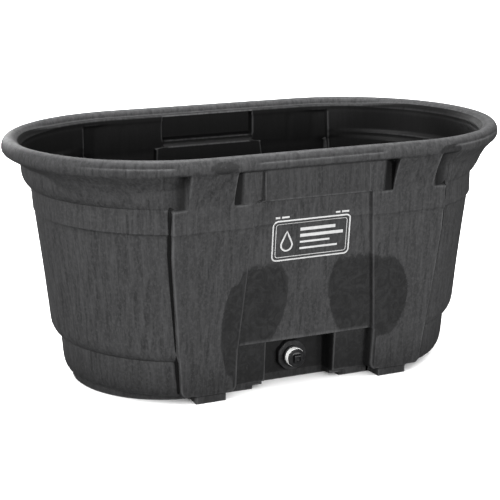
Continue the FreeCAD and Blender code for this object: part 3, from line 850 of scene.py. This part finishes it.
def head_profile(face):
    """Section of the round head up to its dished face, as (radius, depth)."""
    back = SEAL_FRONT + 0.2
    profile = [(NECK_RADIUS, back), (HEAD_RADIUS - 0.8, back), (HEAD_RADIUS, back + 0.8)]
    for turn in np.linspace(0.0, math.pi / 2, 6):
        profile.append((HEAD_RADIUS - HEAD_BEVEL + HEAD_BEVEL * math.cos(turn),
                        face - HEAD_BEVEL + HEAD_BEVEL * math.sin(turn)))
    profile.append((HEAD_RADIUS - 4.4, face))
    profile.append((HEAD_RADIUS - 5.2, face - FACE_DISH))
    profile.append((HEAD_RADIUS - 7.0, face - FACE_DISH))
    return profile


def grip_profile(face):
    """Section of the hollow square grip, as (half width, depth)."""
    return [(GRIP_HALF + 1.4, face - FACE_DISH), (GRIP_HALF + 0.4, face), (GRIP_HALF, face + 1.2),
            (GRIP_HALF - 0.3, GRIP_END - 1.2), (GRIP_HALF - 0.7, GRIP_END - 0.4),
            (GRIP_HALF - 1.4, GRIP_END), (GRIP_HALF - 3.6, GRIP_END), (GRIP_HALF - 4.2, GRIP_END - 0.6),
            (GRIP_HALF - 4.6, GRIP_END - 5.0), (2.0, GRIP_END - 5.4)]


def plug_rings():
    """Rings of the plug from its inner end outwards, as (function of the turn giving the
    radius, depth)."""
    face = SEAL_FRONT + 0.2 + HEAD_GAUGE
    rings = [(even(HOLLOW_RADIUS), THREAD_END + HOLLOW_DEPTH), (even(LIP_RADIUS), THREAD_END),
             (even(THREAD_RADIUS - LEAD_IN), THREAD_END)]
    rings += thread_rings()
    rings.append((even(NECK_RADIUS), SEAL_BACK - 1.2))
    rings += [(even(radius), depth) for radius, depth in head_profile(face)]
    rings += [(squared(half), depth) for half, depth in grip_profile(face)]
    return rings


def build_plug(material):
    """Drain plug with its helical thread, bevelled head and hollow square grip."""
    work = bmesh.new()
    loops = []
    for radius_at, depth in plug_rings():
        loop = []
        for number in range(PLUG_SIDES):
            turn = 2 * math.pi * number / PLUG_SIDES
            point = around(radius_at(turn), turn, depth)
            loop.append(work.verts.new([MM * value for value in point]))
        loops.append(loop)
    for lower, upper in zip(loops, loops[1:]):
        for number in range(PLUG_SIDES):
            onward = (number + 1) % PLUG_SIDES
            work.faces.new((lower[number], lower[onward], upper[onward], upper[number]))
    work.faces.new(loops[0])
    work.faces.new(loops[-1][::-1])
    bmesh.ops.recalc_face_normals(work, faces=work.faces)
    mesh = bpy.data.meshes.new("threaded_plug")
    work.to_mesh(mesh)
    work.free()
    plug = bpy.data.objects.new("threaded_plug", mesh)
    bpy.context.scene.collection.objects.link(plug)
    mesh.materials.append(material)
    for polygon in mesh.polygons:
        polygon.use_smooth = True
    mesh.set_sharp_from_angle(angle=math.radians(35.0))
    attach(plug, "plug")
    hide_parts("drain_plug")
    return plug


# ------------------------------------------------------------------ materials
class Nodes:
    """Short way to add and join shader nodes."""

    def __init__(self, name):
        self.material = bpy.data.materials.new(name)
        self.material.use_nodes = True
        self.tree = self.material.node_tree
        self.shader = self.tree.nodes["Principled BSDF"]

    def add(self, kind, **settings):
        node = self.tree.nodes.new(kind)
        for key, value in settings.items():
            setattr(node, key, value)
        return node

    def join(self, source, target):
        self.tree.links.new(source, target)

    def place(self, scale):
        coordinates = self.add("ShaderNodeTexCoord")
        mapping = self.add("ShaderNodeMapping")
        mapping.inputs["Scale"].default_value = scale
        self.join(coordinates.outputs["Object"], mapping.inputs["Vector"])
        return mapping.outputs["Vector"]

    def noise(self, scale, size, detail=4.0, roughness=0.6, distortion=0.0):
        node = self.add("ShaderNodeTexNoise")
        node.inputs["Scale"].default_value = size
        node.inputs["Detail"].default_value = detail
        node.inputs["Roughness"].default_value = roughness
        node.inputs["Distortion"].default_value = distortion
        self.join(self.place(scale), node.inputs["Vector"])
        return node.outputs["Fac"]

    def remap(self, source, low, high, start, end):
        node = self.add("ShaderNodeMapRange")
        node.inputs["From Min"].default_value = low
        node.inputs["From Max"].default_value = high
        node.inputs["To Min"].default_value = start
        node.inputs["To Max"].default_value = end
        self.join(source, node.inputs["Value"])
        return node.outputs["Result"]

    def maths(self, operation, first, second):
        node = self.add("ShaderNodeMath", operation=operation)
        for socket, value in zip(node.inputs, (first, second)):
            if isinstance(value, float):
                socket.default_value = value
            else:
                self.join(value, socket)
        return node.outputs["Value"]

    def blend(self, factor, first, second):
        node = self.add("ShaderNodeMix", data_type="RGBA")
        self.join(factor, node.inputs["Factor"])
        for name, value in (("A", first), ("B", second)):
            socket = [one for one in node.inputs if one.name == name and one.type == "RGBA"][0]
            if isinstance(value, tuple):
                socket.default_value = (*value, 1.0)
            else:
                self.join(value, socket)
        return [one for one in node.outputs if one.type == "RGBA"][0]

    def attribute(self, name):
        node = self.add("ShaderNodeAttribute", attribute_name=name)
        return node.outputs["Fac"]

    def bump(self, height, strength, distance, before=None):
        node = self.add("ShaderNodeBump")
        node.inputs["Strength"].default_value = strength
        node.inputs["Distance"].default_value = distance
        self.join(height, node.inputs["Height"])
        if before is not None:
            self.join(before, node.inputs["Normal"])
        return node.outputs["Normal"]


def grey(level):
    return (level, level, level * 1.02)


def tub_plastic():
    """Charcoal foam-moulded plastic: vertical flow streaks, swirls, darker flow patches and pale scuffed
    edges, with painted shade patches, a painted highlight on the rim crest, and the inside and sheltered
    parts painted nearly black as shade.
    """
    nodes = Nodes("tub_plastic")
    streaks = nodes.noise((95.0, 95.0, 4.0), 1.0, 7.0, 0.68, 0.5)
    clouds = nodes.noise((7.0, 7.0, 4.0), 1.0, 5.0, 0.6, 1.0)
    swirls = nodes.noise((34.0, 34.0, 30.0), 1.0, 7.0, 0.7, 1.6)
    speckle = nodes.noise((160.0, 160.0, 110.0), 1.0, 4.0, 0.7, 0.3)
    grain = nodes.noise((420.0, 420.0, 300.0), 1.0, 3.0, 0.6)
    tone = nodes.blend(nodes.remap(streaks, 0.36, 0.66, 0.0, 1.0), grey(0.033), grey(0.078))
    tone = nodes.blend(nodes.remap(clouds, 0.34, 0.7, 0.0, 0.6), tone, grey(0.05))
    tone = nodes.blend(nodes.remap(speckle, 0.46, 0.7, 0.0, 0.6), tone, grey(0.1))
    tears = nodes.maths("ADD", nodes.maths("MULTIPLY", swirls, 1.1), nodes.maths("MULTIPLY", streaks, 0.7))
    # flow patches and painted shade patches darken the tone, torn by noise
    torn = nodes.maths("ADD", nodes.attribute("flow_marks_and_shade"), tears)
    flow_and_shade_tone = nodes.blend(nodes.remap(swirls, 0.42, 0.62, 0.0, 1.0), grey(0.019), grey(0.034))
    tone = nodes.blend(nodes.remap(torn, 1.33, 1.52, 0.0, 0.85), tone, flow_and_shade_tone)
    # painted shade: the inside and the sheltered parts are blended almost to black, though they are the
    # same plastic as outside
    painted_shade = nodes.attribute("painted_shade")
    tone = nodes.blend(nodes.maths("MULTIPLY", painted_shade, 0.95), tone, grey(0.004))
    # pale scuffs on worn edges, and the painted highlight on the rim crest
    wear_and_highlight = nodes.attribute("edge_wear_and_crest_highlight")
    streak_breakup = nodes.remap(streaks, 0.3, 0.6, 0.3, 1.0)
    worn_and_highlit = nodes.maths("MULTIPLY", nodes.remap(wear_and_highlight, 0.12, 0.8, 0.0, 1.0), streak_breakup)
    tone = nodes.blend(nodes.maths("MULTIPLY", worn_and_highlit, 0.7), tone, grey(0.17))
    nodes.join(tone, nodes.shader.inputs["Base Color"])
    nodes.join(nodes.remap(clouds, 0.3, 0.7, 0.5, 0.64), nodes.shader.inputs["Roughness"])
    nodes.shader.inputs["Specular IOR Level"].default_value = 0.1
    normal = nodes.bump(grain, 0.35, 0.0006)
    normal = nodes.bump(streaks, 0.2, 0.001, normal)
    nodes.join(normal, nodes.shader.inputs["Normal"])
    return nodes.material


def plain_plastic(name, dark, light, roughness, relief):
    """Injection-moulded plastic or rubber with faint mottling and fine grain."""
    nodes = Nodes(name)
    mottle = nodes.noise((60.0, 60.0, 60.0), 1.0, 4.0, 0.6)
    grain = nodes.noise((900.0, 900.0, 900.0), 1.0, 2.0, 0.5)
    tone = nodes.blend(nodes.remap(mottle, 0.35, 0.65, 0.0, 1.0), dark, light)
    nodes.join(tone, nodes.shader.inputs["Base Color"])
    sheen = nodes.remap(mottle, 0.3, 0.7, roughness - 0.06, roughness + 0.06)
    nodes.join(sheen, nodes.shader.inputs["Roughness"])
    nodes.join(nodes.bump(grain, relief, 0.0003), nodes.shader.inputs["Normal"])
    return nodes.material


def dress(node_name, material):
    """Gives a carried-over CAD node its material."""
    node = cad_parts[node_name]
    node.data.materials.clear()
    node.data.materials.append(material)


# ------------------------------------------------------------------ the studio
CAMERA_TARGET = Vector((0.0, 0.0, 0.3188))
CAMERA_AZIMUTH = math.radians(-24.01)
CAMERA_ELEVATION = math.radians(14.53)
CAMERA_DISTANCE = 3.7286
CAMERA_LENS = 99.77
CAMERA_SHIFT = (-0.01366, -0.01878)
SENSOR_WIDTH = 36.0
VIEW_DEPTH = 50.0

LIGHT_AIM = (0.0, 0.0, 0.3)
KEY_POWER = 205.0
SIDE_POWER = 150.0
BACK_POWER = 130.0
TOP_POWER = 300.0
FLOOR_POWER = 26000.0
SEAL_POWER = 9.0
FLOOR_HALF = 60.0
BACKDROP_RADIUS = 58.0
BACKDROP_HEIGHT = 60.0
BACKDROP_MIDDLE = 29.0
BACKDROP_GLOW = 1.2
# brightness of the studio's surroundings from straight down (0) to straight up (1)
WORLD_GLOW = ((0.0, 0.1), (0.46, 0.15), (0.52, 0.5), (0.6, 0.4), (0.8, 0.12), (1.0, 0.08))


def make_camera():
    data = bpy.data.cameras.new("camera")
    data.lens = CAMERA_LENS
    data.sensor_width = SENSOR_WIDTH
    data.shift_x, data.shift_y = CAMERA_SHIFT
    data.clip_end = VIEW_DEPTH
    camera = bpy.data.objects.new("camera", data)
    bpy.context.scene.collection.objects.link(camera)
    level = math.cos(CAMERA_ELEVATION)
    away = Vector((math.sin(CAMERA_AZIMUTH) * level, -math.cos(CAMERA_AZIMUTH) * level,
                   math.sin(CAMERA_ELEVATION)))
    camera.location = CAMERA_TARGET + away * CAMERA_DISTANCE
    camera.rotation_euler = (-away).to_track_quat("-Z", "Y").to_euler()
    bpy.context.scene.camera = camera


def area_light(name, location, size, power, aim=LIGHT_AIM):
    data = bpy.data.lights.new(name, "AREA")
    data.shape = "RECTANGLE"
    data.size, data.size_y = size
    data.energy = power
    light = bpy.data.objects.new(name, data)
    light.location = location
    towards = Vector(aim) - Vector(location)
    light.rotation_euler = towards.to_track_quat("-Z", "Y").to_euler()
    bpy.context.scene.collection.objects.link(light)
    return light


def make_studio():
    area_light("key_light", (0.5, -4.8, 1.25), (3.2, 1.2), KEY_POWER)
    area_light("left_light", (-4.8, 0.1, 1.3), (2.4, 1.4), SIDE_POWER)
    area_light("back_light", (-0.6, 4.8, 1.5), (3.2, 1.4), BACK_POWER)
    world = bpy.data.worlds.new("studio")
    world.use_nodes = True
    nodes = world.node_tree.nodes
    links = world.node_tree.links
    direction = nodes.new("ShaderNodeTexCoord")
    height = nodes.new("ShaderNodeSeparateXYZ")
    upward = nodes.new("ShaderNodeMapRange")
    upward.inputs["From Min"].default_value = -1.0
    glow = nodes.new("ShaderNodeValToRGB")
    while len(glow.color_ramp.elements) < len(WORLD_GLOW):
        glow.color_ramp.elements.new(0.5)
    for element, (place, level) in zip(glow.color_ramp.elements, WORLD_GLOW):
        element.position = place
        element.color = (level, level, level, 1.0)
    links.new(direction.outputs["Generated"], height.inputs["Vector"])
    links.new(height.outputs["Z"], upward.inputs["Value"])
    links.new(upward.outputs["Result"], glow.inputs["Fac"])
    links.new(glow.outputs["Color"], nodes["Background"].inputs["Color"])
    bpy.context.scene.world = world
    bpy.context.scene.view_settings.view_transform = "Standard"


def make_floor():
    """Plain white floor with a light of its own. It throws no light back on the tub."""
    mesh = bpy.data.meshes.new("studio_floor")
    corners = [(FLOOR_HALF * side_x, FLOOR_HALF * side_y, 0)
               for side_x, side_y in ((-1, -1), (1, -1), (1, 1), (-1, 1))]
    mesh.from_pydata(corners, [], [(0, 1, 2, 3)])
    floor = bpy.data.objects.new("studio_floor", mesh)
    bpy.context.scene.collection.objects.link(floor)
    nodes = Nodes("floor_paint")
    mottle = nodes.noise((1.5, 1.5, 1.5), 1.0)
    paint = nodes.blend(mottle, (0.82, 0.82, 0.82), (0.86, 0.86, 0.86))
    nodes.join(paint, nodes.shader.inputs["Base Color"])
    nodes.shader.inputs["Roughness"].default_value = 0.7
    mesh.materials.append(nodes.material)
    floor.visible_diffuse = False
    floor.visible_glossy = False
    lamp = area_light("floor_light", (0.0, 8.0, 8.0), (50.0, 50.0), FLOOR_POWER, (0.0, 8.0, 0.3))
    lit = bpy.data.collections.new("lit_floor")
    lit.objects.link(floor)
    lamp.light_linking.receiver_collection = lit
    lamp = area_light("top_light", (0.1, 0.2, 5.0), (1.2, 1.0), TOP_POWER)
    unlit = bpy.data.collections.new("all_but_floor")
    unlit.objects.link(floor)
    unlit.collection_objects[0].light_linking.link_state = "EXCLUDE"
    lamp.light_linking.receiver_collection = unlit


def make_backdrop():
    """Plain white surround, far off. Only the camera sees it, so it lights nothing."""
    mesh = bpy.data.meshes.new("studio_backdrop")
    work = bmesh.new()
    bmesh.ops.create_cone(work, segments=64, radius1=BACKDROP_RADIUS, radius2=BACKDROP_RADIUS,
                          depth=BACKDROP_HEIGHT)
    work.to_mesh(mesh)
    work.free()
    backdrop = bpy.data.objects.new("studio_backdrop", mesh)
    backdrop.location = (0.0, 0.0, BACKDROP_MIDDLE)
    bpy.context.scene.collection.objects.link(backdrop)
    nodes = Nodes("backdrop_paper")
    mottle = nodes.noise((0.2, 0.2, 0.2), 1.0)
    glow = nodes.blend(mottle, (0.97, 0.97, 0.97), (1.0, 1.0, 1.0))
    nodes.join(glow, nodes.shader.inputs["Emission Color"])
    nodes.shader.inputs["Emission Strength"].default_value = BACKDROP_GLOW
    mesh.materials.append(nodes.material)
    for ray in ("diffuse", "glossy", "transmission", "shadow", "volume_scatter"):
        setattr(backdrop, f"visible_{ray}", False)


def light_seal():
    """Small lamp for the white seal only, which sits in the shade of the recess."""
    lamp = area_light("seal_light", (-0.55, -0.85, 0.4), (0.3, 0.3), SEAL_POWER)
    lit = bpy.data.collections.new("lit_seal")
    lit.objects.link(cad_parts["plug_seal"])
    lamp.light_linking.receiver_collection = lit


make_camera()
make_studio()
make_floor()
make_backdrop()
build_tub(tub_plastic())
black_fitting = plain_plastic("fitting_black", (0.012, 0.012, 0.013), (0.022, 0.022, 0.023), 0.4, 0.2)
dress("drain_body", black_fitting)
dress("lock_nut", black_fitting)
build_plug(plain_plastic("plug_black", (0.01, 0.01, 0.011), (0.018, 0.018, 0.019), 0.35, 0.2))
rubber = plain_plastic("gasket_rubber", (0.016, 0.016, 0.016), (0.028, 0.028, 0.028), 0.7, 0.4)
dress("inner_gasket", rubber)
dress("outer_washer", rubber)
dress("plug_seal", plain_plastic("seal_white", (0.88, 0.88, 0.87), (0.95, 0.95, 0.94), 0.45, 0.2))
light_seal()
build_label(plain_plastic("label_white", (0.7, 0.7, 0.7), (0.8, 0.8, 0.8), 0.4, 0.1))
